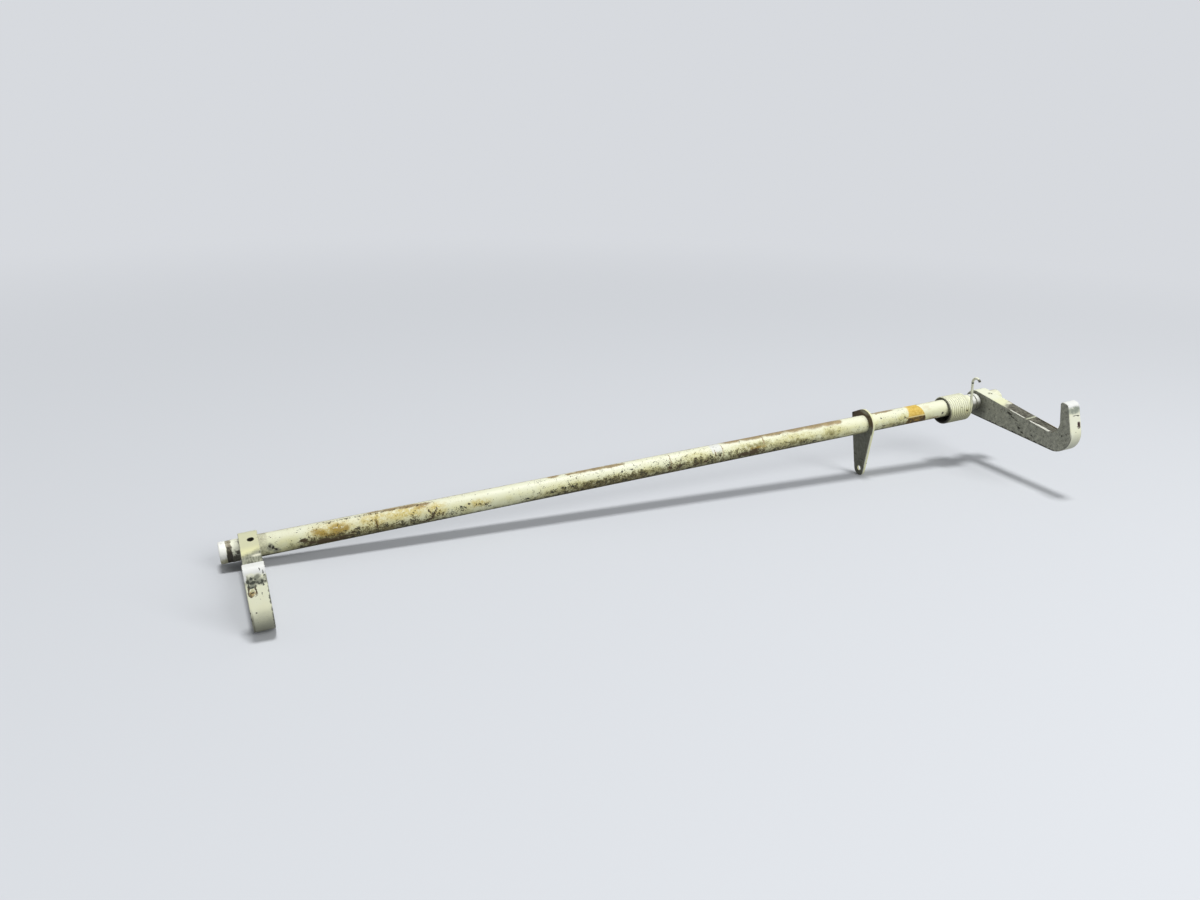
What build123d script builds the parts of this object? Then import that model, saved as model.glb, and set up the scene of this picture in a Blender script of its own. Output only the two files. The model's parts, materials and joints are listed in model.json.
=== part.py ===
from build123d import *
from math import asin, atan, atan2, cos, degrees, radians, sin, tan
import os

# A torque tube: a slim steel tube that carries a catch hook at each end, a lever arm that
# turns it, and a torsion spring that turns it back. It lies as it comes to rest: flat on
# the underside of the left hook, propped up by the tip of the lever arm.
# The origin is the left end of the tube, on its axis. +Z is up and +X runs to the right.

# Sizes in millimetres, angles in degrees.

# Tube
tube_diameter = 15.875
tube_wall = 2.1
tube_end_chamfer = 0.5
stub_length = 13.5          # bare journal that stands out past each hook
journal_diameter = 15.5     # the stubs are turned down a little
hook_pitch = 654.0          # middle of one hook to the middle of the other
wear_band_start = 4.1       # from the left end to the band worn into its journal
wear_band_width = 3.9
wear_band_depth = 0.12
groove_start = 4.3          # from the right hook back to the groove beside it
groove_width = 1.2
groove_depth = 0.35

# Hooks
hook_thickness = 12.7
hub_radius = 11.9
hub_clearance = 0.03        # all round the tube
floor_height = 10.85        # top of the bar above the tube's axis
bar_taper = 5.6             # the underside rises toward the heel by this angle
mouth_reach = 96.5          # tube's axis to the corner of floor and beak, before its fillet
beak_root = 18.8            # corner of floor and beak to the corner of underside and beak
beak_height = 41.5          # top of the beak above the tube's axis
beak_inner_lean = 15.3      # both sides of the beak lean back over the mouth
beak_outer_lean = 23.6
mouth_fillet = 10.0
heel_round = 17.0
beak_inner_round = 2.5
beak_outer_round = 4.5
hook_edge_break = 0.4
right_hook_twist = 3.4      # the right hook's beak stands lower by this angle

# Track that the catch pin has worn into the floor of each mouth
track_start = 61.0          # tube's axis to the start of its ramp
track_ramp = 2.2
track_depth = 0.6
track_lip = 1.2             # unworn edge left at each side
track_climb = 40.0          # degrees of the mouth's fillet that are worn too

# Cross pins, each lying against the side of the tube and locking the hub to it
pin_diameter = 3.97
pin_clearance = 0.03
pin_offset = 8.4            # tube's axis to the pin's axis, toward the beak
pin_shift = 1.3             # the pins stand right of the middle of the plates
left_pin_sink = 2.6         # how far each end of the pin is below the hub's surface
right_pin_sink = 0.3
pin_end_chamfer = 0.3

# Lever arm
arm_thickness = 2.5
arm_to_right_hook = 135.0   # left face of the arm to the middle of the right hook
arm_ring_radius = 13.2
arm_drop = 43.0             # tube's axis down to the hole
arm_lean = 2.0              # the hole's place toward the beaks
arm_tip_radius = 6.4
arm_hole_diameter = 4.8
arm_ear_back = 15.7         # centre of the rounded rear corner behind the tube's axis
arm_ear_height = 4.5
arm_ear_radius = 1.0
spotface_radius = 8.0
spotface_depth = 0.35
arm_edge_break = 0.25
weld_leg = 2.0

# Return spring
wire_diameter = 2.2
wire_flats = 6              # the wire has flat sides and straight steps: few facets, many turns
steps_per_turn = 24
bend_steps = 5
curl_steps = 8
coil_diameter = 23.0        # centre of the wire to the centre of the wire
coil_pitch = 2.32
coil_whole_turns = 10
spring_to_right_hook = 15.4  # middle of the last turn to the right hook's inner face
coil_rest_gap = 0.3         # between the coil's hanging top turn and the tube
tang_place = 190.0          # where the coil starts, counted from its front over its top
tang_bend_radius = 2.8
tang_clearance = 0.3        # all round the tang in its hole
tang_reach = 1.2            # the tang's end inside the tube's bore
leg_place = 8.0             # where the coil ends, counted in the same way
leg_length = 25.6
leg_hook_radius = 4.5
leg_hook_wrap = 155.0
leg_tail = 0.8


# Sizes that follow from these
tube_radius = tube_diameter / 2
journal_radius = journal_diameter / 2
left_end = -(hook_thickness / 2 + stub_length)
right_end = hook_pitch - left_end
tube_length = right_end - left_end
arm_station = hook_pitch - arm_to_right_hook
right_hook_inner_face = hook_pitch - hook_thickness / 2
hub_height = floor_height - hub_radius
clearance_radius = tube_radius + hub_clearance

# How the part lies. The hooks lean forward until the left one's underside is level, and
# the tube climbs from the outer edge of that hook to the arm's lowest point.
hook_depth = hub_radius - hub_height * cos(radians(bar_taper))
arm_depth = arm_drop * cos(radians(bar_taper)) + arm_lean * sin(radians(bar_taper)) + arm_tip_radius
rise = degrees(atan((arm_depth - hook_depth) / (arm_station + hook_thickness / 2)))

# Row directions: along the tube, toward the beaks, and up from the hooks' floors.
lying = Plane.XY.rotated((bar_taper, 0, 0)).rotated((0, -rise, 0))
along = lying.x_dir
toward_beak = lying.y_dir * -1
upward = lying.z_dir
tube_axis = Axis((0, 0, 0), along)


def station(distance, twist=0.0, height=0.0):
    """A plane across the tube, at a distance from the left hook's middle.

    Its X points toward the beaks and its Y up. A twist lowers the X direction.
    """
    reach = toward_beak * cos(radians(twist)) - upward * sin(radians(twist))
    centre = along * (distance - left_end) + upward * height
    return Plane(origin=centre, x_dir=reach, z_dir=along * -1)


hook_places = {
    "left_hook": station(0),
    "right_hook": station(hook_pitch, twist=right_hook_twist),
}
pin_sinks = {"left_hook": left_pin_sink, "right_hook": right_pin_sink}
os.makedirs("parts", exist_ok=True)


def pin_plane(place, height):
    """The plane across a hook's pin, at a height above the tube's axis."""
    centre = place.origin + along * pin_shift + place.x_dir * pin_offset + place.y_dir * height
    return Plane(origin=centre, x_dir=place.x_dir, z_dir=place.y_dir)


# Heights of the hub's surfaces where the pin passes
pin_top = floor_height
pin_bottom = hub_height - hub_radius / cos(radians(bar_taper)) + pin_offset * tan(radians(bar_taper))


# Corners of the hook's outline, in reach and height from the tube's axis
inner_slope = tan(radians(beak_inner_lean))
outer_slope = tan(radians(beak_outer_lean))
underside_drop = hub_radius / cos(radians(bar_taper)) - hub_height
heel_reach = mouth_reach + beak_root
heel_height = heel_reach * tan(radians(bar_taper)) - underside_drop
mouth_corner = (mouth_reach, floor_height)
heel_corner = (heel_reach, heel_height)
beak_inner_corner = (mouth_reach - (beak_height - floor_height) * inner_slope, beak_height)
beak_outer_corner = (heel_reach - (beak_height - heel_height) * outer_slope, beak_height)
hub_top = (0, floor_height)
hub_bottom = (
    hub_radius * sin(radians(bar_taper)),
    hub_height - hub_radius * cos(radians(bar_taper)),
)
hub_back = (-hub_radius, hub_height)

# The beak's rounds can't take up more than the width of its top
beak_top_width = beak_outer_corner[0] - beak_inner_corner[0]
inner_round = min(beak_inner_round, 0.31 * beak_top_width)
outer_round = min(beak_outer_round, 0.55 * beak_top_width)

# Centre of the fillet in the mouth, which the worn track follows
fillet_height = floor_height + mouth_fillet
fillet_reach = (
    mouth_reach - mouth_fillet * inner_slope - mouth_fillet / cos(radians(beak_inner_lean))
)

for name, place in hook_places.items():
    with BuildPart() as hook:
        # One plate: hub, bar that tapers toward the heel, and beak
        with BuildSketch(place):
            with BuildLine():
                FilletPolyline(
                    hub_top,
                    mouth_corner,
                    beak_inner_corner,
                    beak_outer_corner,
                    heel_corner,
                    hub_bottom,
                    radius=[mouth_fillet, inner_round, outer_round, heel_round],
                )
                ThreePointArc(hub_bottom, hub_back, hub_top)
            make_face()
        extrude(amount=hook_thickness / 2, both=True)
        sides = hook.faces().sort_by(Axis(place.origin, along))
        chamfer(sides[0].edges() + sides[-1].edges(), hook_edge_break)

        # Bore for the tube
        with BuildSketch(place):
            Circle(clearance_radius)
        extrude(amount=hook_thickness, both=True, mode=Mode.SUBTRACT)

        # Cross hole for the pin
        with BuildSketch(pin_plane(place, 0)):
            Circle(pin_diameter / 2)
        extrude(amount=2 * hub_radius, both=True, mode=Mode.SUBTRACT)

        # Track worn into the floor and up the mouth's fillet
        with BuildSketch(place):
            with BuildLine():
                worn = Polyline(
                    (track_start, floor_height + track_depth),
                    (track_start, floor_height),
                    (track_start + track_ramp, floor_height - track_depth),
                    (fillet_reach, floor_height - track_depth),
                )
                climb = CenterArc(
                    (fillet_reach, fillet_height), mouth_fillet + track_depth, -90, track_climb
                )
                Polyline(climb @ 1, (fillet_reach, fillet_height), worn @ 0)
            make_face()
        extrude(amount=hook_thickness / 2 - track_lip, both=True, mode=Mode.SUBTRACT)
    hook.part.label = name
    export_step(hook.part, f"parts/{name}.step")

    sink = pin_sinks[name]
    with BuildPart() as pin:
        with BuildSketch(pin_plane(place, pin_bottom + sink)):
            Circle(pin_diameter / 2 - pin_clearance)
        extrude(amount=pin_top - pin_bottom - 2 * sink)
        chamfer(pin.edges().filter_by(GeomType.CIRCLE), pin_end_chamfer)
    pin.part.label = f"{name}_pin"
    export_step(pin.part, f"parts/{name}_pin.step")


with BuildPart() as lever_arm:
    # Plate with a ring round the tube, a rear ear and a round tip
    arm_face = station(arm_station)
    with BuildSketch(arm_face):
        Circle(arm_ring_radius)
        with Locations((arm_lean, -arm_drop)):
            Circle(arm_tip_radius)
        with Locations((-arm_ear_back, arm_ear_height)):
            Circle(arm_ear_radius)
        make_hull()
    extrude(amount=-arm_thickness)
    plate_faces = lever_arm.faces().sort_by(tube_axis)
    chamfer(plate_faces[0].edges() + plate_faces[-1].edges(), arm_edge_break)

    # Spot faces and the hole at the tip
    for side, depth in ((arm_station, -spotface_depth), (arm_station + arm_thickness, spotface_depth)):
        with BuildSketch(station(side)):
            with Locations((arm_lean, -arm_drop)):
                Circle(spotface_radius)
        extrude(amount=depth, mode=Mode.SUBTRACT)
    with BuildSketch(arm_face):
        with Locations((arm_lean, -arm_drop)):
            Circle(arm_hole_diameter / 2)
    extrude(amount=-arm_thickness, mode=Mode.SUBTRACT)

    # Weld on the right side, from the plate to the tube
    weld_root = along * (arm_station + arm_thickness - left_end)
    with BuildSketch(Plane(origin=weld_root, x_dir=along, z_dir=toward_beak)):
        with BuildLine():
            Polyline(
                (weld_leg, clearance_radius),
                (0, clearance_radius),
                (0, clearance_radius + weld_leg),
                close=True,
            )
        make_face()
    revolve(axis=tube_axis)

    # Bore for the tube
    with BuildSketch(arm_face):
        Circle(clearance_radius)
    extrude(amount=-2 * (arm_thickness + weld_leg), mode=Mode.SUBTRACT)
lever_arm.part.label = "lever_arm"
export_step(lever_arm.part, "parts/lever_arm.step")


# Path of the spring's wire: the coil hangs on the tube, so its axis is lower by the sag.
# Its turns climb at the front toward the right, so the coil is a left-handed one.
wire_radius = wire_diameter / 2
coil_radius = coil_diameter / 2
sag = coil_radius - wire_radius - tube_radius - coil_rest_gap
coil_turns = coil_whole_turns + (360 + leg_place - tang_place) / 360
coil_length = coil_pitch * coil_turns
coil_start = right_hook_inner_face - spring_to_right_hook - coil_length
coil_centre = station(coil_start, height=-sag).origin
first_reach = toward_beak * cos(radians(tang_place)) + upward * sin(radians(tang_place))
coil_plane = Plane(origin=coil_centre, x_dir=first_reach, z_dir=along)
turns = coil_plane * Helix(coil_pitch, coil_length, coil_radius, lefthand=True)

# Before its first turn the wire bends in to the tang, which points straight at the tube's axis
tube_centre = station(coil_start).origin
backward = (turns % 0) * -1
inward = (coil_centre - turns @ 0).normalized()
bend_arm = turns @ 0 + inward * tang_bend_radius - tube_centre
bend_angle = (
    atan2(bend_arm.dot(backward), -bend_arm.dot(inward))
    + radians(90)
    + asin(tang_bend_radius / bend_arm.length)
)
bend_end = (
    turns @ 0
    + backward * tang_bend_radius * sin(bend_angle)
    + inward * tang_bend_radius * (1 - cos(bend_angle))
)
bend = TangentArc(turns @ 0, bend_end, tangent=backward)
tang_length = (bend_end - tube_centre).length - (tube_radius - tube_wall - tang_reach)
tang = Line(bend @ 1, bend @ 1 + (bend % 1) * tang_length)

# After its last turn the wire runs straight up and curls over into an open hook
leg = Line(turns @ 1, turns @ 1 + (turns % 1) * leg_length)
outward = (turns @ 1 - station(coil_start + coil_length, height=-sag).origin).normalized()
wrap = radians(leg_hook_wrap)
curl_end = (
    leg @ 1
    + (leg % 1) * leg_hook_radius * sin(wrap)
    + outward * leg_hook_radius * (1 - cos(wrap))
)
curl = TangentArc(leg @ 1, curl_end, tangent=leg % 1)
tail = Line(curl @ 1, curl @ 1 + (curl % 1) * leg_tail)


def steps(edge, count, start=0.0, end=1.0):
    """Evenly spaced points along an edge from start to end, the end left out."""
    return [edge @ (start + (end - start) * step / count) for step in range(count)]


wire_points = [
    tail @ 1,
    *steps(curl, curl_steps, start=1.0, end=0.0),
    leg @ 1,
    *steps(turns, round(coil_turns * steps_per_turn), start=1.0, end=0.0),
    *steps(bend, bend_steps),
    bend @ 1,
    tang @ 1,
]
with BuildPart() as return_spring:
    with BuildLine() as wire_path:
        Polyline(*wire_points)
    with BuildSketch(Plane(origin=tail @ 1, z_dir=wire_points[1] - wire_points[0])):
        RegularPolygon(wire_radius, wire_flats)
    sweep(path=wire_path.wires()[0], transition=Transition.RIGHT)
return_spring.part.label = "return_spring"
export_step(return_spring.part, "parts/return_spring.step")


with BuildPart() as torque_tube:
    # One length of seamless tube
    with BuildSketch(station(left_end)):
        Circle(tube_radius)
        Circle(tube_radius - tube_wall, mode=Mode.SUBTRACT)
    extrude(amount=-tube_length)

    # Both journals, the band that the left bearing has worn, and the groove by the right hook
    bands = (
        (left_end, stub_length, journal_radius),
        (right_end - stub_length, stub_length, journal_radius),
        (left_end + wear_band_start, wear_band_width, journal_radius - wear_band_depth),
        (right_hook_inner_face - groove_start - groove_width, groove_width, tube_radius - groove_depth),
    )
    for start, width, radius in bands:
        with BuildSketch(station(start)):
            Circle(tube_radius + tube_wall)
            Circle(radius, mode=Mode.SUBTRACT)
        extrude(amount=-width, mode=Mode.SUBTRACT)
    ends = torque_tube.faces().filter_by(GeomType.PLANE).sort_by(tube_axis)
    rims = ends[0].edges() + ends[-1].edges()
    chamfer(rims.filter_by(lambda rim: rim.radius > tube_radius - tube_wall), tube_end_chamfer)

    # Notches for the cross pins, and the hole for the spring's tang
    for place in hook_places.values():
        with BuildSketch(pin_plane(place, 0)):
            Circle(pin_diameter / 2)
        extrude(amount=2 * hub_radius, both=True, mode=Mode.SUBTRACT)
    with BuildSketch(Plane(origin=tang @ 0, z_dir=tang % 0)):
        Circle(wire_radius + tang_clearance)
    extrude(amount=tang_length, mode=Mode.SUBTRACT)
torque_tube.part.label = "torque_tube"
export_step(torque_tube.part, "parts/torque_tube.step")
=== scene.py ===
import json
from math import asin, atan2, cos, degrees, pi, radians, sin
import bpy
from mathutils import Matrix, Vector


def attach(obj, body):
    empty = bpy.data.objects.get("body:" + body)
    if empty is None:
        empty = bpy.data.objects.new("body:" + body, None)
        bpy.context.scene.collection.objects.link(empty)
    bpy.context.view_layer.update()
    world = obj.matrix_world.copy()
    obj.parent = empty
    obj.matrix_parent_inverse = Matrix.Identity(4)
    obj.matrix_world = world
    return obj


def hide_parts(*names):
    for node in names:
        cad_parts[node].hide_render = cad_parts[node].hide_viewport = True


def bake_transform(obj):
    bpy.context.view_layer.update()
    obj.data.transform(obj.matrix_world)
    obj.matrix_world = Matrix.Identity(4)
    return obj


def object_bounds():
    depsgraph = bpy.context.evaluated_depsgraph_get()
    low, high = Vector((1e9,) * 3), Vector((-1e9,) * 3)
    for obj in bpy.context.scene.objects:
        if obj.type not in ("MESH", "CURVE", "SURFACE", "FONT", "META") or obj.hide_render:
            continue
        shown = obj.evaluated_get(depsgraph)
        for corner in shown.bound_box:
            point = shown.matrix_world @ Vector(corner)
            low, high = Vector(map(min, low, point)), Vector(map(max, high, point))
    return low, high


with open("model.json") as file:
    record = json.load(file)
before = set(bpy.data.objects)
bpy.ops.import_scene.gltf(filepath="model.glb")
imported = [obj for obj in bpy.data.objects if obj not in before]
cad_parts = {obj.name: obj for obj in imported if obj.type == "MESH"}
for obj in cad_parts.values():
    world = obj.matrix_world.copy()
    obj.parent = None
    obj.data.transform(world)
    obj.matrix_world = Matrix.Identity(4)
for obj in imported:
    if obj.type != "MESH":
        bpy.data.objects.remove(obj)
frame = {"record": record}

# %% [markdown]
# # A torque tube in Blender, cell by cell
#
# The object is a slim steel tube with a heavy hook at each end, a thin lever arm, and a return
# spring that hangs round the tube. It was brush painted with cream enamel a long time ago. The
# paint has chipped, the bare spots have rusted, and grime lies on the underside of the tube.
#
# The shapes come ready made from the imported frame. The hooks, their pins and the lever arm stay as
# they are and get their finish here. The tube and the spring are round, and the frame gives them
# flats, so they are modelled again. Blender works in metres. The part's own sizes are given in
# millimetres, times MM.

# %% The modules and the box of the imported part
from types import SimpleNamespace

import bpy
from mathutils import Matrix, Vector

MM = 0.001
packed_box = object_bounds()
print("packed box:", [[round(c, 4) for c in corner] for corner in packed_box])

# %% [markdown]
# The part lies tilted, as it came to rest. Its mounts say where the tube's axis runs and which
# way the floors of the hooks face, so three directions of its own follow from them: along the
# tube, up from the hooks' floors, and out toward the hooks' beaks.

# %% The part's own directions
mounts = {mount["name"]: mount for mount in frame["record"]["mounts"]}
tube_start = Vector(mounts["left_journal"]["pos_m"])
tube_end = Vector(mounts["right_journal"]["pos_m"])
along = (tube_end - tube_start).normalized()
upward = Vector(mounts["left_mouth_floor"]["axis"]).normalized()
toward_beak = along.cross(upward)
tube_length = (tube_end - tube_start).length / MM
print("tube:", round(tube_length, 1), "mm, climb:", round(degrees(asin(along.z)), 2), "degrees")


def from_start(distance, reach=0.0, height=0.0):
    """A point in metres from millimetres along the tube, toward the beaks and up."""
    return tube_start + (along * distance + toward_beak * reach + upward * height) * MM


# %% [markdown]
# The camera stands where the picture was taken from. Its place was worked out from the outlines
# of the tube and the hooks, and its lens is a 28 mm one on a full frame. The view rolls a little
# to the left.

# %% The camera
def facing(place, sight):
    """The matrix of a camera or a lamp at a place that looks along its sight."""
    return Matrix.Translation(place) @ sight.to_track_quat("-Z", "Y").to_matrix().to_4x4()


camera_place = Vector((0.00201, -0.62954, 0.28623))
camera_heading = radians(66.013)
camera_pitch = radians(19.494)
camera_roll = radians(1.666)
camera_data = bpy.data.cameras.new("camera")
camera_data.sensor_width = 36.0
camera_data.lens = 27.988
camera = bpy.data.objects.new("camera", camera_data)
bpy.context.scene.collection.objects.link(camera)
sight = Vector((
    cos(camera_heading) * cos(camera_pitch),
    sin(camera_heading) * cos(camera_pitch),
    -sin(camera_pitch),
))
camera.matrix_world = facing(camera_place, sight) @ Matrix.Rotation(camera_roll, 4, "Z")
bpy.context.scene.camera = camera
print("camera at", [round(c, 3) for c in camera.matrix_world.translation])

# %% [markdown]
# The shadow in the picture lies straight under the tube, so the main light hangs overhead. A sun
# would give it hard edges, so it is a square softbox, large enough to blur the shadow of the
# raised end. A weak second one in front and a dim sky keep the sides from going black.

# %% The softboxes
middle = from_start(tube_length / 2)
above_middle = middle + Vector((0.0, -0.2, 8.0))
before_part = Vector((1.0, -1.7, 1.25))


def softbox(name, place, size, power):
    """A square lamp that faces the middle of the tube, with its side in metres and its watts."""
    lamp = bpy.data.lights.new(name, "AREA")
    lamp.size = size
    lamp.energy = power
    lamp_object = bpy.data.objects.new(name, lamp)
    bpy.context.scene.collection.objects.link(lamp_object)
    lamp_object.matrix_world = facing(place, middle - place)
    print(name, "at", round((middle - place).length, 2), "m")


softbox("key_softbox", above_middle, size=1.6, power=386.0)
softbox("front_softbox", before_part, size=1.2, power=22.0)

# %% [markdown]
# The sky has two jobs. It lights the part dimly from all round, and it is the pale backdrop that
# the camera sees. Light Path tells the two apart, so the backdrop can be bright and adds no light.

# %% The sky
SKY_LIGHT = (0.95, 0.97, 1.0)
SKY_STRENGTH = 0.28
BACKDROP = (0.68, 0.7, 0.735)
world = bpy.data.worlds.new("sky")
world.use_nodes = True
sky_tree = world.node_tree
sky = sky_tree.nodes["Background"]
sky.inputs["Color"].default_value = (*SKY_LIGHT, 1.0)
sky.inputs["Strength"].default_value = SKY_STRENGTH
backdrop = sky_tree.nodes.new("ShaderNodeBackground")
backdrop.inputs["Color"].default_value = (*BACKDROP, 1.0)
rays = sky_tree.nodes.new("ShaderNodeLightPath")
sky_mix = sky_tree.nodes.new("ShaderNodeMixShader")
for output, socket in (
    (rays.outputs["Is Camera Ray"], sky_mix.inputs[0]),
    (sky.outputs[0], sky_mix.inputs[1]),
    (backdrop.outputs[0], sky_mix.inputs[2]),
    (sky_mix.outputs[0], sky_tree.nodes["World Output"].inputs["Surface"]),
):
    sky_tree.links.new(output, socket)
bpy.context.scene.world = world
bpy.context.scene.view_settings.view_transform = "Standard"
print("sky:", len(sky_tree.nodes), "nodes")

# %% [markdown]
# A finish is a material with nodes in front of its shader. Written as plain node calls it would be
# hard to read, so a small class wraps each socket, and then masks are sums and products of
# signals. Every other node comes from one method that takes its kind, settings and inputs.

# %% Signals
class Signal:
    """A socket of a finish. Arithmetic on signals adds Math nodes."""

    def __init__(self, finish, socket):
        self.finish = finish
        self.socket = socket

    def __add__(self, other):
        return self.finish.math("ADD", self, other)

    def __sub__(self, other):
        return self.finish.math("SUBTRACT", self, other)

    def __rsub__(self, other):
        return self.finish.math("SUBTRACT", other, self)

    def __mul__(self, other):
        return self.finish.math("MULTIPLY", self, other)

    __radd__ = __add__
    __rmul__ = __mul__


# %% Finishes
class Finish:
    """A material named for its surface, with one Principled shader."""

    def __init__(self, name, constants):
        self.material = bpy.data.materials.new(name)
        self.material.use_nodes = True
        self.tree = self.material.node_tree
        self.shader = self.tree.nodes["Principled BSDF"]
        for socket_name, value in constants.items():
            self.shader.inputs[socket_name].default_value = value

    def node(self, kind, settings, inputs, output=0):
        """Add a node: its settings first, then the value or link of each input."""
        made = self.tree.nodes.new(kind)
        for name, value in settings.items():
            if name == "stops":
                ramp = made.color_ramp
                while len(ramp.elements) < len(value):
                    ramp.elements.new(0.5)
                for element, (position, level) in zip(ramp.elements, value):
                    element.position = position
                    element.color = (level, level, level, 1.0)
            else:
                setattr(made, name, value)
        for name, value in inputs.items():
            self.feed(made.inputs[name], value)
        return Signal(self, made.outputs[output])

    def feed(self, socket, value):
        """Link a signal to a socket, or set its value."""
        if isinstance(value, Signal):
            self.tree.links.new(value.socket, socket)
        elif socket.type == "RGBA":
            socket.default_value = (*value, 1.0)
        else:
            socket.default_value = value

    def math(self, operation, *values):
        return self.node("ShaderNodeMath", {"operation": operation}, dict(enumerate(values)))

    def vector_math(self, operation, *values, output="Vector"):
        inputs = dict(enumerate(values))
        return self.node("ShaderNodeVectorMath", {"operation": operation}, inputs, output)

    def vector(self, x, y, z=0.0):
        return self.node("ShaderNodeCombineXYZ", {}, {"X": x, "Y": y, "Z": z})

    def length(self, vector):
        return self.vector_math("LENGTH", vector, output="Value")

    def rise(self, value, low, high):
        """A mask that goes smoothly from 0 at low to 1 at high."""
        settings = {"interpolation_type": "SMOOTHSTEP"}
        return self.node("ShaderNodeMapRange", settings, {0: value, 1: low, 2: high})

    def fall(self, value, low, high):
        """A mask that goes smoothly from 1 at low to 0 at high."""
        return 1.0 - self.rise(value, low, high)

    def band(self, value, low, high, soft):
        """A mask that is 1 between low and high, with soft ends."""
        return self.rise(value, low - soft, low + soft) - self.rise(value, high - soft, high + soft)

    def most(self, masks):
        """The larger of several masks at each point."""
        result = masks[0]
        for mask in masks[1:]:
            result = self.math("MAXIMUM", result, mask)
        return result

    def noise(self, vector, grain, detail=3.0, roughness=0.55, output=0):
        """Cloudy noise with grains of a size in millimetres."""
        inputs = {"Vector": vector, "Scale": 1.0 / grain, "Detail": detail, "Roughness": roughness}
        return self.node("ShaderNodeTexNoise", {}, inputs, output)

    def wobble(self, vector, grain, amount):
        """Shift a vector by noise, so that what is drawn on it gets ragged edges."""
        clouds = self.noise(vector, grain, detail=4.0, output="Color")
        centred = self.vector_math("SUBTRACT", clouds, (0.5, 0.5, 0.5))
        return self.vector_math("MULTIPLY_ADD", centred, (2 * amount,) * 3, vector)

    def spots(self, vector, edge, places):
        """A mask of oval spots, each given by its centre and its half lengths."""
        masks = []
        for centre, halves in places:
            scale = [1.0 / half for half in halves]
            shift = [-c / half for c, half in zip(centre, halves)]
            oval = self.vector_math("MULTIPLY_ADD", vector, scale, shift)
            masks.append(self.fall(self.length(oval), 1.0 - edge, 1.0 + edge))
        return self.most(masks)

    def blend(self, mask, below, above):
        """The colour below, covered by the colour above where the mask is 1."""
        inputs = {0: mask, 6: below, 7: above}
        return self.node("ShaderNodeMix", {"data_type": "RGBA"}, inputs, 2)

    def two_tone(self, level, low, high, first, second):
        """The first colour, which goes over into the second as the level rises."""
        return self.blend(self.rise(level, low, high), first, second)

    def cover(self, colour, coats):
        """A colour under several coats in order, each given by its mask and its own colour."""
        for mask, coat in coats:
            colour = self.blend(mask, colour, coat)
        print(self.material.name + ":", len(coats), "coats")
        return colour

    def surface(self, colour, roughness, height, depth):
        """Feed the shader. The height is in units of the depth, which is in millimetres."""
        bump_inputs = {"Strength": 1.0, "Distance": depth * MM, "Height": height}
        bump = self.node("ShaderNodeBump", {}, bump_inputs)
        for name, value in (("Base Color", colour), ("Roughness", roughness), ("Normal", bump)):
            self.feed(self.shader.inputs[name], value)
        print(self.material.name + ":", len(self.tree.nodes), "nodes")


# %% [markdown]
# Marks sit at known places on the part, so each finish reads its own position in millimetres:
# along the tube (s, or x across a hook or the arm), toward the beaks (u) and up (v). The object's
# coordinates are in the part's frame, so three dot products give them and no painted map is
# needed. A hook counts from its own middle, and the right one's are twisted with it.

# %% Positions on the part
hook_pitch = 654.0
hook_middle = 19.85
right_hook_twist = radians(3.4)
tube_radius = 7.9375


def part_position(finish, start=0.0, twist=0.0):
    """Distance along from start, reach and height, in millimetres."""
    reach_way = toward_beak * cos(twist) - upward * sin(twist)
    height_way = upward * cos(twist) + toward_beak * sin(twist)
    coordinates = finish.node("ShaderNodeTexCoord", {}, {}, "Object")
    offset = finish.vector_math("SUBTRACT", coordinates, from_start(start))
    return [
        finish.vector_math("DOT_PRODUCT", offset, way / MM, output="Value")
        for way in (along, reach_way, height_way)
    ]


def part_noise(finish, start=0.0, twist=0.0, grains=(3.0, 0.8)):
    """The position, its vector, medium and fine noise, and a shift for uneven borders."""
    place = part_position(finish, start, twist)
    solid = finish.vector(*place)
    medium = finish.noise(solid, grains[0], detail=5.0, roughness=0.65)
    fine = finish.noise(solid, grains[1], detail=4.0, roughness=0.7)
    return (*place, solid, medium, fine, medium - 0.5)


# %% [markdown]
# The same old enamel is on every piece, so its gloss and its tones are written down once. The clean
# paint is cream, and yellower where oil has soaked in. The paler cream is used as a painted
# highlight on faces turned to the lamps, and elsewhere as paler paint.

# %% Gloss and colours that the finishes share
ENAMEL = {"Specular IOR Level": 0.45}
CREAM = (0.82, 0.83, 0.55)
PALE_CREAM = (0.88, 0.89, 0.71)
YELLOW_CREAM = (0.79, 0.78, 0.45)
BARE_WHITE = (0.79, 0.8, 0.775)
RUST_BROWN = (0.36, 0.26, 0.13)
UMBER = (0.075, 0.05, 0.02)
SOOT = (0.03, 0.027, 0.018)
print("clean enamel:", CREAM)

# %% [markdown]
# ## The tube
#
# One length of seamless tube, with a turned journal at each end, a band that a bearing has worn
# into the left journal and a groove beside the right hook. It could be cylinders joined end to
# end, but each step would need its own seam. Here a ring of points is drawn once and then pulled
# out and resized from step to step, as on a lathe, down the outside and back up the bore.

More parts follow.
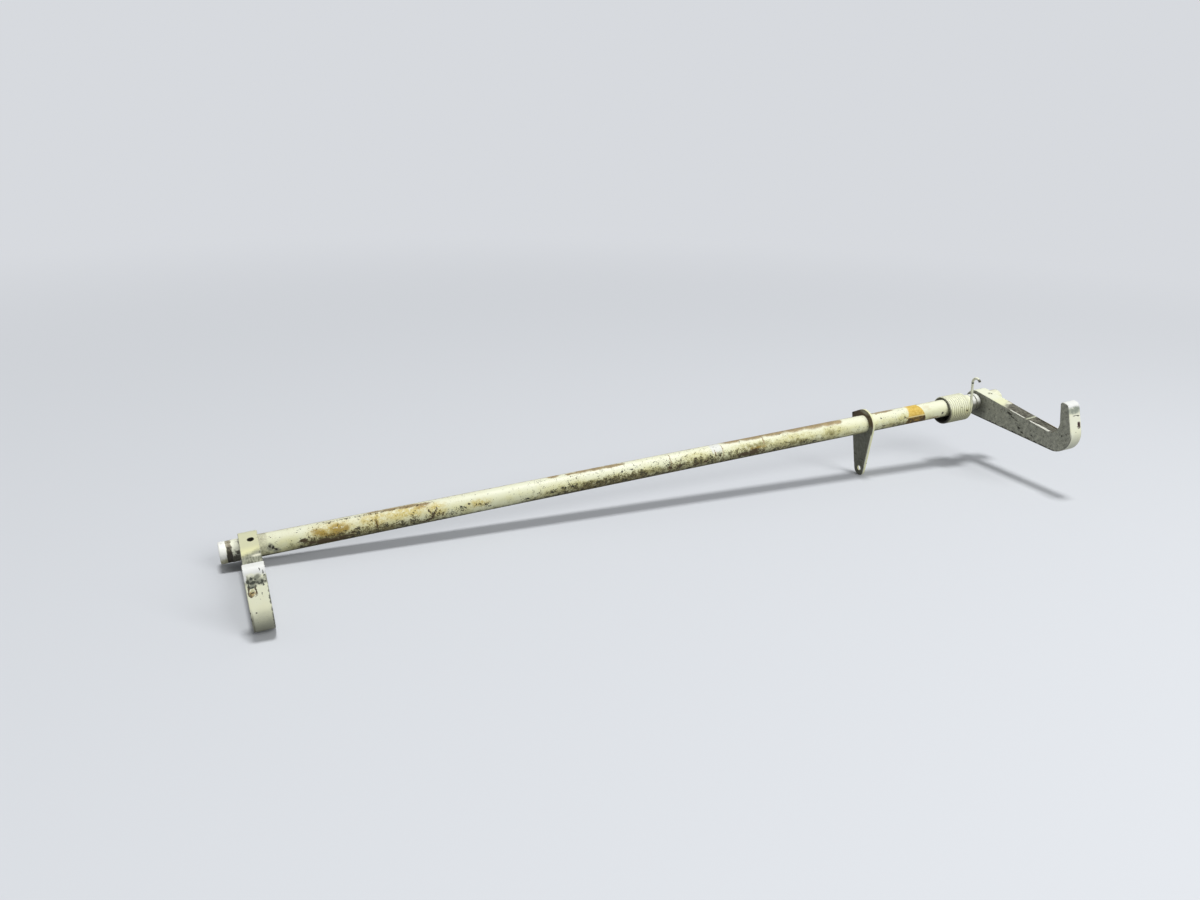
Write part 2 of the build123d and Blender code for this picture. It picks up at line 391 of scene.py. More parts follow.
# %% A tool for turned shapes
def turned(name, sides, profile):
    """A closed turned piece, from (distance, radius) pairs that run down the Z axis."""
    bpy.ops.object.select_all(action="DESELECT")
    height, radius = profile[0]
    bpy.ops.mesh.primitive_circle_add(
        vertices=sides, radius=radius * MM, location=(0, 0, -height * MM)
    )
    piece = bpy.context.object
    piece.name = name
    bpy.ops.object.transform_apply(location=True, rotation=False, scale=False)
    bpy.ops.object.mode_set(mode="EDIT")
    bpy.ops.mesh.select_all(action="SELECT")
    for next_height, next_radius in profile[1:] + profile[:1]:
        bpy.ops.mesh.extrude_region_move(
            TRANSFORM_OT_translate={"value": (0, 0, (height - next_height) * MM)}
        )
        scale = next_radius / radius
        bpy.ops.transform.resize(value=(scale, scale, 1))
        height, radius = next_height, next_radius
    bpy.ops.mesh.select_all(action="SELECT")
    bpy.ops.mesh.remove_doubles(threshold=1e-6)
    bpy.ops.mesh.normals_make_consistent(inside=False)
    bpy.ops.object.mode_set(mode="OBJECT")
    return piece


def lay_on_axis(piece, distance, drop=0.0):
    """Lay a piece on the tube's axis, its X toward the beaks and its Z back to the left end."""
    turn = Matrix((toward_beak, upward, along * -1)).transposed()
    piece.matrix_world = Matrix.Translation(from_start(distance, height=-drop)) @ turn.to_4x4()
    bpy.ops.object.select_all(action="DESELECT")
    piece.select_set(True)
    bpy.context.view_layer.objects.active = piece
    bpy.ops.object.transform_apply(location=True, rotation=True, scale=True)


# %% [markdown]
# The profile runs from the rounded left end over the journal with its worn band and the tube with
# its groove to the right journal. The left journal is a table of how deep each step is cut. Short
# steps stand for the chamfers, because a sharp edge would catch no light.

# %% The tube
stub_length = 13.5
journal_radius = 7.75
wall = 2.1
bore_radius = tube_radius - wall
groove_start = 662.0
groove_width = 1.2
groove_radius = tube_radius - 0.35
journal_cuts = [
    (0.0, 0.6), (0.15, 0.3), (0.6, 0.03), (1.2, 0.0), (3.6, 0.0), (4.1, 0.05), (4.5, 0.12),
    (7.7, 0.12), (8.0, 0.02), (8.2, 0.0), (stub_length - 0.3, 0.0),
]
outside = [(distance, journal_radius - cut) for distance, cut in journal_cuts] + [
    (stub_length, tube_radius),
    (groove_start, tube_radius),
    (groove_start + 0.25, groove_radius),
    (groove_start + groove_width - 0.25, groove_radius),
    (groove_start + groove_width, tube_radius),
    (tube_length - stub_length, tube_radius),
    (tube_length - stub_length + 0.3, journal_radius),
    (tube_length - 0.6, journal_radius),
    (tube_length - 0.15, journal_radius - 0.25),
    (tube_length, journal_radius - 0.55),
]
bore = [(tube_length, bore_radius), (0.0, bore_radius)]
tube = turned("painted_tube", 72, outside + bore)
lay_on_axis(tube, 0.0)
bpy.ops.object.shade_smooth_by_angle(angle=radians(35))
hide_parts("torque_tube")
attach(tube, "shaft")
print("tube:", len(tube.data.polygons), "faces")

# %% [markdown]
# ## The return spring
#
# One wire, wound left-handed in ten and a half turns that hang on the tube, so the top of the coil
# rests there and its axis lies lower than the tube's. A curve with a bevel could draw it, but the
# Screw modifier carries one small circle round the axis and keeps the turns exact.

# %% The coil
wire_radius = 1.13
coil_radius = 11.5
coil_pitch = 2.32
tang_place = radians(190.0)
leg_place = radians(8.0)
coil_turns = 10 + (2 * pi + leg_place - tang_place) / (2 * pi)
coil_length = coil_pitch * coil_turns
coil_end = hook_middle + 632.25
coil_start = coil_end - coil_length
packed_wire_radius = 1.1
gap_on_tube = 0.3
coil_drop = coil_radius - packed_wire_radius - tube_radius - gap_on_tube
STEPS_PER_TURN = 48
start_point = Vector((cos(tang_place), sin(tang_place), 0)) * coil_radius * MM
bpy.ops.object.select_all(action="DESELECT")
bpy.ops.mesh.primitive_circle_add(vertices=14, radius=wire_radius * MM, location=start_point)
spring = bpy.context.object
spring.name = "return_spring_wire"
spring.rotation_euler = (pi / 2, 0, tang_place)
bpy.ops.object.transform_apply(location=True, rotation=True, scale=True)
screw = spring.modifiers.new("turns", "SCREW")
screw.angle = coil_turns * 2 * pi
screw.screw_offset = -coil_length * MM
screw.steps = screw.render_steps = round(coil_turns * STEPS_PER_TURN)
screw.use_merge_vertices = False
bpy.ops.object.modifier_apply(modifier="turns")
print("coil:", round(coil_turns, 2), "turns,", len(spring.data.polygons), "faces")

# %% [markdown]
# The coil's right end stands up as a straight leg and curls over into an open hook, which holds on
# to the next part of the machine. The open ring of points at that end is pulled straight out and
# then spun round the middle of the curl, so the wire keeps its thickness and has no joint.

# %% The leg and its hook
leg_length = 25.6
curl_radius = 4.5
curl_angle = radians(155)
ring_reach = (wire_radius + 0.02) * MM
leg_side = Vector((cos(leg_place), sin(leg_place), 0))
leg_way = Vector((-sin(leg_place), cos(leg_place), 0))
end_point = leg_side * coil_radius * MM
end_point.z = -coil_length * MM


def select_ring(piece, centre):
    """Select the ring of points round a centre, in edit mode."""
    bpy.ops.mesh.select_all(action="DESELECT")
    bpy.ops.object.mode_set(mode="OBJECT")
    for vertex in piece.data.vertices:
        vertex.select = (vertex.co - centre).length < ring_reach
    bpy.ops.object.mode_set(mode="EDIT")


bpy.ops.object.mode_set(mode="EDIT")
bpy.ops.mesh.select_mode(type="VERT")
select_ring(spring, end_point)
bpy.ops.mesh.extrude_region_move(TRANSFORM_OT_translate={"value": leg_way * leg_length * MM})
curl_centre = end_point + leg_way * leg_length * MM + leg_side * curl_radius * MM
bpy.ops.mesh.spin(steps=14, angle=curl_angle, center=curl_centre, axis=(0, 0, 1))
bpy.ops.mesh.edge_face_add()
print("leg:", leg_length, "mm, curled over by", round(degrees(curl_angle)), "degrees")

# %% [markdown]
# At the left end the wire turns in sharply and runs through the tube's wall, so the tube drags it
# round. The bend's angle follows from the tube's axis: the tang has to point straight at it. It ends
# a little way inside the bore. Then the piece is closed and laid on the tube. Its tang stays with
# the tube while its leg turns.

# %% The bend and the tang
bend_radius = 2.8
tang_inside_bore = 1.2
backward = Vector((sin(tang_place), -cos(tang_place), 0))
inward = Vector((-cos(tang_place), -sin(tang_place), 0))
tube_axis = Vector((0, coil_drop, 0))
bend_centre = start_point + inward * bend_radius * MM
bend_arm = bend_centre / MM - tube_axis
bend_angle = atan2(bend_arm.dot(backward), -bend_arm.dot(inward)) + pi / 2
bend_angle += asin(bend_radius / bend_arm.length)
select_ring(spring, start_point)
bpy.ops.mesh.spin(steps=8, angle=bend_angle, center=bend_centre, axis=(0, 0, 1))
tang_way = backward * cos(bend_angle) + inward * sin(bend_angle)
bend_end = bend_centre + (backward * sin(bend_angle) - inward * cos(bend_angle)) * bend_radius * MM
tang_length = (bend_end / MM - tube_axis).length - bore_radius + tang_inside_bore
bpy.ops.mesh.extrude_region_move(TRANSFORM_OT_translate={"value": tang_way * tang_length * MM})
bpy.ops.mesh.edge_face_add()
bpy.ops.mesh.select_all(action="SELECT")
bpy.ops.mesh.normals_make_consistent(inside=False)
bpy.ops.object.mode_set(mode="OBJECT")
lay_on_axis(spring, coil_start, coil_drop)
bpy.ops.object.shade_smooth_by_angle(angle=radians(50))
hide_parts("return_spring")
from_start(coil_start + 0.5)
from_start(coil_start + coil_length - 1.0)
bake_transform(spring)
print("bend:", round(degrees(bend_angle)), "degrees, tang:", round(tang_length, 1), "mm")

# %% [markdown]
# ## Finish of the tube
#
# The enamel was brushed on thick. It is paler on top, which is a painted highlight, and toward the
# underside it goes olive and dark, partly with oil and grime and partly as painted shade, with dark
# chips. Marks are easiest to place on the tube unrolled to a flat strip: the distance along it, and
# the distance round it, counted from the beaks' side over the top. The soft masks use the climb from
# the tube's middle instead, because the strip has a seam at the back. Noise pushed into the strip
# tears the edges of what is drawn on it.

# %% The unrolled tube
DEGREE = radians(1) * tube_radius
UNLIMITED = 1000.0
enamel = Finish("tube_enamel", ENAMEL)
s, u, v, solid, medium, fine, uneven = part_noise(enamel, grains=(3.2, 0.9))
coarse = enamel.noise(solid, 14.0, detail=2.0)
turn = enamel.math("ARCTAN2", v, u)
climb = enamel.math("ARCSINE", v * (1 / tube_radius))
unrolled = enamel.vector(s, turn * tube_radius)
ragged = enamel.wobble(enamel.wobble(unrolled, 0.9, 0.8), 3.0, 1.5)
torn = enamel.wobble(unrolled, 3.5, 2.6)


def tube_spots(vector, edge, marks):
    """Ovals on the unrolled tube, from (distance, degrees round, half length, half width)."""
    places = [((s, turn * DEGREE, 0), (half, wide, UNLIMITED)) for s, turn, half, wide in marks]
    print("ovals on the tube:", len(places))
    return enamel.spots(vector, edge, places)


# %% [markdown]
# Dirt and chips are thick in some stretches and thin in others. A ramp along the tube says how
# much there is, and noise past a threshold scatters it, thicker low down than on top. The dense
# ovals add to it where the real tube has clusters.

# %% Dirt, chips and painted shade on the tube
dirt_stops = [
    (0.0, 0.5), (0.045, 0.5), (0.06, 0.15), (0.08, 0.8), (0.115, 0.8), (0.15, 0.75),
    (0.185, 0.55), (0.215, 0.6), (0.24, 0.25), (0.3, 0.3), (0.345, 0.65), (0.4, 0.95),
    (0.48, 0.8), (0.55, 0.75), (0.6, 0.8), (0.65, 0.75), (0.7, 0.55), (0.745, 0.25),
    (0.785, 0.35), (0.84, 0.6), (0.87, 0.15), (1.0, 0.2),
]
share_along = {"Fac": s * (1 / tube_length)}
dirt_along = enamel.node("ShaderNodeValToRGB", {"stops": dirt_stops}, share_along)
# The underside masks darken the lower tube, partly as grime and partly as painted shade. The shaded
# edge is painted shade along the lower edge.
underside = enamel.fall(climb, radians(-62), radians(12))
lower_half = enamel.fall(climb, radians(-25), radians(48))
shaded_edge = enamel.fall(climb + uneven * 0.5, radians(-60), radians(2))
grime_and_shade = enamel.rise(underside + medium * 0.9 + dirt_along * 0.5, 1.05, 1.55)
olive_level = lower_half * 0.5 + coarse * 0.5 + medium * 0.5 + dirt_along * 0.4
olive = enamel.rise(olive_level, 0.92, 1.3)
dense = tube_spots(torn, 0.6, [
    (60, 4, 4, 3.4), (98, 12, 6, 2.6), (131, 14, 6, 3), (149, 10, 6, 3.6), (104, 30, 4, 3),
    (114, -8, 30, 3), (78, -4, 16, 2), (184, 8, 8, 2.6), (166, 0, 5, 2.6), (255, 4, 6, 3),
    (270, -6, 9, 3), (288, -6, 14, 2.4), (310, -4, 12, 2.4), (342, 2, 5, 2.6), (352, 0, 5, 2.6),
    (368, 14, 10, 4), (386, -4, 8, 3), (412, -8, 14, 2.4), (356, 30, 15, 3), (382, 26, 8, 2.6),
    (404, 22, 12, 2.4), (300, 14, 18, 2),
])
speck_level = (
    fine * 0.72 + medium * 0.52 + dirt_along * (lower_half * 0.14 + 0.06) + dense * 0.06 - 0.016
)
chips = enamel.rise(speck_level, 0.745, 0.772)
top_line = enamel.band(turn, radians(76), radians(93), 0.08)
top_line = top_line * enamel.band(s, 66, 150, 5)
top_specks = enamel.rise(fine * 0.55 + medium * 0.55 + top_line * 0.12, 0.66, 0.7)
freckle_level = fine * 0.7 + coarse * 0.25 + lower_half * 0.05 + dirt_along * 0.06
freckles = enamel.rise(freckle_level, 0.575, 0.635)

# %% [markdown]
# Rust has run out near the left end, brown streaks lie along the top edge, and dark marks sit
# where something knocked the paint off. Noise alone would put them anywhere, so each has its own
# oval in a table, and the ragged or torn strip breaks its outline.

# %% Stains, streaks and marks on the tube
ochre_stains = tube_spots(ragged, 0.55, [
    (66.5, 33, 4.4, 2.3), (69, 22, 3.4, 1.1), (79, 36, 5.4, 3.6), (77, 10, 2.5, 1.6),
    (63, 48, 2.5, 1.2), (106.3, 18, 1.3, 3.2), (73, 10, 4.5, 0.8), (85, 30, 2, 2.2),
    (139, 62, 5, 1), (424, 14, 9, 1.1), (582, 8, 2, 1),
])
brown_streaks = tube_spots(ragged, 0.3, [
    (106, 96, 6, 1.4), (118, 92, 7, 1.9), (130, 88, 8, 2.2), (141, 78, 6, 1.5),
    (244.5, 97, 5, 2.2), (258, 90, 4.5, 1.2), (268, 93, 7, 2.2), (280, 93, 8, 2.5),
    (292, 90, 8, 2.3), (301, 85, 4, 1.4), (404, 102, 10, 3.4), (424, 101, 14, 4),
    (445, 100, 13, 4), (466, 99, 12, 4.3), (485, 98, 12, 5), (500, 95, 9, 4.6), (509, 84, 5, 3),
    (551, 80, 1.2, 0.9), (614, -28, 6, 0.9), (343.2, 48, 0.45, 6.5), (559, 96, 12, 1.8),
    (431.4, 55, 0.5, 5), (391.6, 40, 0.35, 6), (384, 28, 0.35, 4),
])
back_line = enamel.band(turn + uneven * 0.5, radians(106), radians(142), radians(6))
umber_marks = tube_spots(ragged, 0.3, [
    (61, -12, 3.2, 1.5), (69, -19, 6.5, 2.5), (78, -24, 5.5, 2.2), (85.5, -13, 4.4, 1.2),
    (88.5, 4, 2.4, 0.7), (91, 15, 1, 0.6), (106.2, 14, 0.55, 3), (55, 8, 3, 1.4),
    (144.2, 34, 0.55, 1), (145, 24, 0.55, 1.2), (146.4, 13, 0.6, 1), (150.2, 40, 0.55, 1.3),
    (149.4, 26, 0.6, 1.4), (147.8, 12, 0.8, 1.4), (146.3, -3, 1.1, 1.2), (144.6, -15, 1.5, 0.9),
    (140.5, -24, 3.2, 0.8), (154, 1, 0.5, 1.7), (341.7, 1, 1.7, 1.2), (350.5, 0, 2.2, 1.2),
    (366.5, -13, 2.4, 1.2), (365.4, 25, 1.3, 0.9), (411, -9, 6, 1.7), (421.5, -6, 6.5, 2.6),
    (429, -12, 2.6, 1.8), (556, -12, 2.2, 0.8), (342, 20, 0.4, 2.6), (375, -6, 2.5, 1.1),
    (388.4, 14, 1, 1),
])
soot_specks = tube_spots(ragged, 0.35, [
    (168.3, 21, 0.9, 0.7), (171.5, 14, 1.2, 0.8), (174.5, 25, 0.7, 0.5), (220, -15, 2, 0.7),
    (240, -4, 1.7, 0.9), (248.6, 12, 1.3, 0.9), (251, 6, 0.9, 0.9), (257, 8, 1.3, 0.7),
    (299.4, 34, 0.9, 0.7), (553.2, 45, 0.8, 0.6), (622.2, -5, 1.1, 0.95), (482, -16, 2.5, 0.8),
    (308, 36, 1.6, 0.4), (190, -8, 1.4, 0.6), (32.5, 14, 0.8, 1), (579, 15, 1.6, 0.4),
    (34.6, 5, 0.9, 1.3), (36, -6, 1.1, 1.2),
])
grey_smudge = tube_spots(torn, 0.5, [(33, 10, 2.2, 2.6), (36.5, -14, 2.6, 1.8)])
yellowed = tube_spots(torn, 0.6, [
    (76, 20, 16, 8.5), (104, 40, 10, 7), (128, 50, 18, 6), (150, 30, 7, 6), (182, 20, 8, 3),
    (264, 2, 26, 3.2), (306, 4, 24, 3.2), (420, 20, 26, 5), (462, 20, 20, 5), (500, 20, 12, 5),
    (366, 30, 12, 5), (578, 10, 8, 5),
])
olive_stains = tube_spots(torn, 0.5, [
    (275, 4, 13, 2.4), (320, 0, 16, 2), (464, 2, 10, 2.6), (482, -12, 6, 1.6), (499, 15, 5, 2.6),
    (424, 30, 12, 2), (365, 8, 14, 2.2), (519, -16, 5, 0.9), (566, -14, 16, 1.2),
    (250, -10, 12, 2), (52, -20, 8, 1.2), (74, -10, 17, 3.4), (120, -16, 22, 1.5),
])
beige_spots = tube_spots(torn, 0.4, [(605, 60, 4, 2), (607, 40, 2, 1)])

# %% [markdown]
# The colours are laid on in the order in which they came to the real tube: fresh paint with a
# painted highlight on top, paint that has yellowed, most warmly near the rusty end, oil and grime
# mixed with painted shade on the underside and along the lower edge, rust, and last the chips and
# knocks.
# A mottled coat is a blend of two tones by noise.

# %% Coats of the tube
fresh = enamel.two_tone(coarse, 0.42, 0.62, CREAM, YELLOW_CREAM)
# Painted highlight: the top of the tube is paler.
top_highlight = enamel.rise(climb, radians(18), radians(62))
pale_collar = enamel.band(s, 381.5, 391.2, 0.5)
pale_collar = pale_collar * enamel.rise(climb, radians(20), radians(48))
by_hub = enamel.fall(s + uneven * 4.0, 30.5, 32.5)
dull = enamel.two_tone(medium, 0.35, 0.6, (0.7, 0.69, 0.51), (0.38, 0.37, 0.27))
yellow = enamel.two_tone(s, 170.0, 260.0, (0.66, 0.53, 0.15), (0.64, 0.6, 0.25))
yellow_breaks = enamel.rise(medium * 0.6 + fine * 0.4, 0.36, 0.56)
ochre_level = fine * 0.6 + medium * 0.4
ochre = enamel.two_tone(ochre_level, 0.4, 0.62, (0.29, 0.185, 0.03), (0.57, 0.4, 0.085))
ochre_breaks = enamel.rise(medium * 0.55 + fine * 0.45, 0.37, 0.47)
streak = enamel.two_tone(medium, 0.35, 0.6, (0.24, 0.165, 0.075), (0.4, 0.285, 0.125))
chip = enamel.two_tone(medium, 0.45, 0.62, (0.16, 0.13, 0.045), SOOT)
tube_colour = enamel.cover(fresh, [
    (top_highlight * 0.75, PALE_CREAM),
    (pale_collar * 0.8, BARE_WHITE),
    (by_hub * 0.7, dull),
    (yellowed * yellow_breaks * 0.9, yellow),
    (olive * 0.6, (0.33, 0.31, 0.12)),
    (olive_stains * enamel.rise(medium, 0.25, 0.55) * 0.7, (0.25, 0.22, 0.07)),
    (back_line * 0.65, (0.3, 0.24, 0.13)),
    (shaded_edge * (dirt_along * 0.5 + 0.2), (0.17, 0.17, 0.11)),
    (grey_smudge * 0.75, (0.2, 0.2, 0.17)),
    (grime_and_shade * 0.9, (0.1, 0.095, 0.055)),
    (beige_spots * 0.5, (0.7, 0.63, 0.4)),
    (freckles * 0.5, (0.42, 0.36, 0.17)),
    (ochre_stains * ochre_breaks * 0.94, ochre),
    (brown_streaks * enamel.rise(fine, 0.2, 0.42) * 0.92, streak),
    (top_specks * 0.8, UMBER),
    (chips * 0.88, chip),
    (umber_marks * enamel.rise(medium, 0.2, 0.45), UMBER),
    (soot_specks, SOOT),
])

# %% [markdown]
# Right of the lever arm something has scraped a slanting band of the enamel off, down to ochre
# primer, and low on the tube down to brown metal. Its two borders are slanted by adding a share
# of the climb to the distance, and the left one is far more ragged than the right one.

# %% The scraped band
fine_uneven = fine - 0.5
scraped = enamel.rise(s - climb * 2.2 + uneven * 6.0 + fine_uneven * 3.0, 581.2, 583.0)
scraped = scraped * enamel.fall(s + climb * 2.9 + fine_uneven * 0.8, 601.8, 602.4)
scraped_low = enamel.fall(climb + fine_uneven * 0.1, radians(4), radians(11))
scraped_line = enamel.band(climb, radians(8), radians(15), 0.03)
primer_level = fine * 0.5 + medium * 0.5
primer = enamel.two_tone(primer_level, 0.4, 0.6, (0.6, 0.38, 0.055), (0.79, 0.585, 0.135))
metal_level = medium * 0.7 + fine * 0.3
brown_metal = enamel.two_tone(metal_level, 0.45, 0.62, (0.05, 0.035, 0.012), (0.34, 0.2, 0.03))
scraped_colour = enamel.cover(primer, [
    (scraped_low, brown_metal),
    (scraped_line * 0.8, (0.78, 0.68, 0.36)),
])

# %% [markdown]
# Both ends are bare, turned metal. The left stub has a bright rim, a brown band where its bearing
# ran, and remains of paint, darker low down and next to the hub, partly dirt and partly painted
# shadow. Beside the right hook the metal is bright above and painted dark below as shade, and scored
# by rings. These coats go over all others, since the turning and rubbing took the paint. The bore is
# painted near black, as painted shade.

# %% Bare journals of the tube
left_stub = enamel.fall(s, stub_length - 0.3, stub_length + 0.2)
# Painted shadow of the hub on the end of the stub next to it.
shadow_by_hub = enamel.rise(s, 9.0, 13.0) * 0.25
stub_dirt_and_shade = enamel.rise(medium * 1.7 + lower_half * 0.6 + shadow_by_hub, 1.1, 1.35)
worn_top = enamel.two_tone(fine, 0.4, 0.62, (0.17, 0.14, 0.08), (0.55, 0.51, 0.38))
worn_band = enamel.two_tone(
    climb + uneven * 1.6, radians(25), radians(60), (0.04, 0.033, 0.02), worn_top
)
rim_level = lower_half + medium * 0.4
stub_rim = enamel.two_tone(rim_level, 0.85, 1.3, (0.94, 0.94, 0.88), (0.42, 0.4, 0.22))
stub_colour = enamel.cover(PALE_CREAM, [
    (stub_dirt_and_shade, (0.13, 0.125, 0.09)),
    (enamel.band(s + uneven * 5.0, 4.5, 8.2, 0.3), worn_band),
    (enamel.fall(s + uneven * 0.8, 4.4, 4.8), stub_rim),
])
by_right_hook = enamel.band(s, 657.5, 668.5, 0.4)
bare_shade = enamel.blend(medium, (0.66, 0.67, 0.62), (0.92, 0.93, 0.9))
bare_rings = enamel.most([
    enamel.band(s + uneven * 0.8, start, start + width, 0.12)
    for start, width in ((657.8, 0.6), (662.1, 1.2), (666.8, 1.4))
])
# Painted shade on the lower half of the bare journal.
in_shade = enamel.fall(climb + uneven * 0.9, radians(0), radians(42))
bare_colour = enamel.cover(bare_shade, [
    (bare_rings * 0.92, (0.12, 0.12, 0.1)),
    (in_shade * 0.92, (0.05, 0.05, 0.045)),
])
# The inside of the bore is painted near black: painted shade.
in_bore = enamel.fall(enamel.length(enamel.vector(u, v)), 6.4, 6.8)
tube_colour = enamel.cover(tube_colour, [
    (scraped, scraped_colour),
    (left_stub, stub_colour),
    (by_right_hook * 0.9, bare_colour),
    (in_bore, (0.05, 0.04, 0.03)),
])

# %% [markdown]
# Grime and bare spots are duller than enamel, and flaws lie a little deeper. The brush has left
# fine lines, which are noise stretched along the tube. All of it is too shallow to model, so it is
# bump.

# %% Gloss and relief of the tube
flaws = enamel.most([chips, umber_marks, soot_specks, scraped])
roughness = 0.4 + grime_and_shade * 0.3 + flaws * 0.25 + medium * 0.08
stretched = enamel.vector_math("MULTIPLY", solid, (0.12, 1.0, 1.0))
brush_lines = enamel.noise(stretched, 0.9)
relief = brush_lines * 0.25 + medium * 0.2 - flaws * 0.8
enamel.surface(tube_colour, roughness, relief, 0.14)
tube.data.materials.append(enamel.material)

# %% [markdown]
# ## Finish of the hooks
#
# The hooks wear the same enamel. Both share one recipe and have their own look and marks, so the
# recipe is a function. It starts from the signals that all its steps share: the position from the
# hook's middle, the noises, and how far a point is from the middle of the plate.

# %% Places on a hook
plate_half = 6.35
floor_top = 10.85
lip_reach = 5.75
# Reaches between which one place goes over into the next
hub_to_bar = (15.0, 24.0)
floor_to_beak = (98.0, 101.0)
outer_face = (92.0, 96.0)
ramp_ends = (58.9, 60.6)


def hook_signals(finish, middle, twist):
    """The signals that the steps of the recipe share."""
    x, u, v, solid, medium, fine, uneven = part_noise(finish, middle, twist)
    side = finish.math("ABSOLUTE", x)
    on_side = finish.rise(side, plate_half - 0.3, plate_half - 0.02)
    return SimpleNamespace(
        x=x, u=u, v=v, solid=solid, medium=medium, fine=fine, uneven=uneven,
        ragged=finish.wobble(solid, 1.5, 1.1), hub=finish.fall(u, *hub_to_bar),
        side=side, on_side=on_side, off_side=1.0 - on_side,
    )


# %% [markdown]
# The flat sides, which face away from the light, are darkened partly by grime and partly as painted
# shade, and most of all round the hub, where the corner with the tube is painted shade. The outer
# face of a beak is paler in the middle as a painted highlight, darker toward the heel, with painted
# shade along its near corner, and bare and white at the tip. Each is a coat whose mask follows from
# the position.

# %% Enamel, grime and painted light of a hook
def enamel_coats(finish, at, look):
    """The coats of the hub, the flat sides and the beak."""
    u = at.u
    height = at.v + at.uneven * 5.0
    mottle = at.medium * 0.5 + at.fine * 0.6
    # Grime and painted shade on the flat sides, with painted shade at the corner round the hub.
    side_grime_and_shade = finish.two_tone(mottle, 0.4, 0.7, (0.6, 0.605, 0.49), (0.225, 0.225, 0.18))
    hub_corner_shade = finish.spots(at.solid, 0.6, [((-plate_half, 3.0, -1.0), (2.0, 11.0, 12.0))])
    side_grime_and_shade = finish.blend(hub_corner_shade * 0.75, side_grime_and_shade, (0.08, 0.08, 0.06))
    heel = finish.fall(height, 5.0, 20.0)
    outer = finish.rise(u, *outer_face) * at.off_side
    near_corner = finish.rise(at.x * -1.0 + at.uneven * 0.8, plate_half - 1.6, plate_half - 1.1)
    corner_shade = near_corner * outer * finish.fall(height, 12.0, 22.0)
    tip = finish.rise(height, 36.0, 39.5) * finish.rise(u, 70.0, 80.0) * at.off_side
    hub_low = finish.fall(at.v + at.uneven * 7.0, -4.0, 4.0) * at.hub * at.off_side
    return [
        (at.hub * 0.8, look.hub),
        (at.on_side * 0.95, side_grime_and_shade),
        # A painted highlight on the outer face of the beak.
        (outer * 0.6, PALE_CREAM),
        (heel * outer * look.heel, (0.12, 0.125, 0.09)),
        # Painted shade along the near corner of the beak.
        (corner_shade * look.corner, SOOT),
        (tip * 0.95, BARE_WHITE),
        (hub_low * 0.75, (0.2, 0.2, 0.15)),
    ]


# %% [markdown]
# The catch pins have rubbed the mouths bare and brown. Where the rubbing starts is ragged, it
# climbs into the fillet of the beak, and a bright lip is left beside it at each side. Scores run
# along the floor, as noise stretched that way.

# %% The mouth of a hook
def mouth_coats(finish, at, rubbed, floor_tones):
    """The coats of the rubbed floor, with its scores, its ramp and its bright lips."""
    x, u, medium = at.x, at.u, at.medium
    along_floor = finish.vector_math("MULTIPLY", at.solid, (1.0, 0.15, 1.0))
    scores = finish.noise(along_floor, 0.9)
    brown = finish.two_tone(scores * 0.6 + medium * 0.5, 0.42, 0.68, *floor_tones)
    ramp = finish.band(u + x * 0.08, *ramp_ends, 0.25)
    near_side = finish.fall(x, -1.0, 1.0)
    lip_edge = lip_reach - near_side * (finish.rise(u, 60.0, 76.0) * 3.0 + 0.3)
    lip_stretch = finish.band(u, 41.0, 58.0, 0.8) + finish.band(u, 63.5, 85.0, 1.0)
    lip = finish.rise(at.side - lip_edge + at.uneven * 0.5, 0.0, 0.2) * lip_stretch
    rubbed_colour = finish.cover(brown, [
        (ramp * 0.8, (0.6, 0.62, 0.46)),
        (lip * 0.95, (0.9, 0.9, 0.8)),
    ])
    below_beak = finish.fall(at.v, 15.0, 21.0)
    on_floor = finish.fall(at.side, plate_half - 0.12, plate_half - 0.02)
    pale_patch = finish.spots(at.ragged, 0.5, [((3.0, 30.5, floor_top), (3.0, 1.6, 3.0))])
    return [
        (rubbed * below_beak * on_floor, rubbed_colour),
        (pale_patch * 0.8, (0.85, 0.84, 0.66)),
    ]


# %% [markdown]
# The recipe lays these coats on, blackens the cross pin's hole as painted shade, with grime round
# its rim on the left hook, scatters chips that are thickest along the bar's lower edges, and ends
# with the marks of the one hook. A look says what differs: the tones, the strength of the dark heel
# and corner, the size of the blackened hole and where the rubbing starts.

# %% The recipe of a hook
bar_bottom = -13.0
bar_taper = 0.098
hole_place = (1.3, 8.4, 0.0)
rub_soft = 4.0


def dress(node, finish):
    """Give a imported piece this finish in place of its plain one."""
    materials = bpy.data.objects[node].data.materials
    materials.clear()
    materials.append(finish.material)


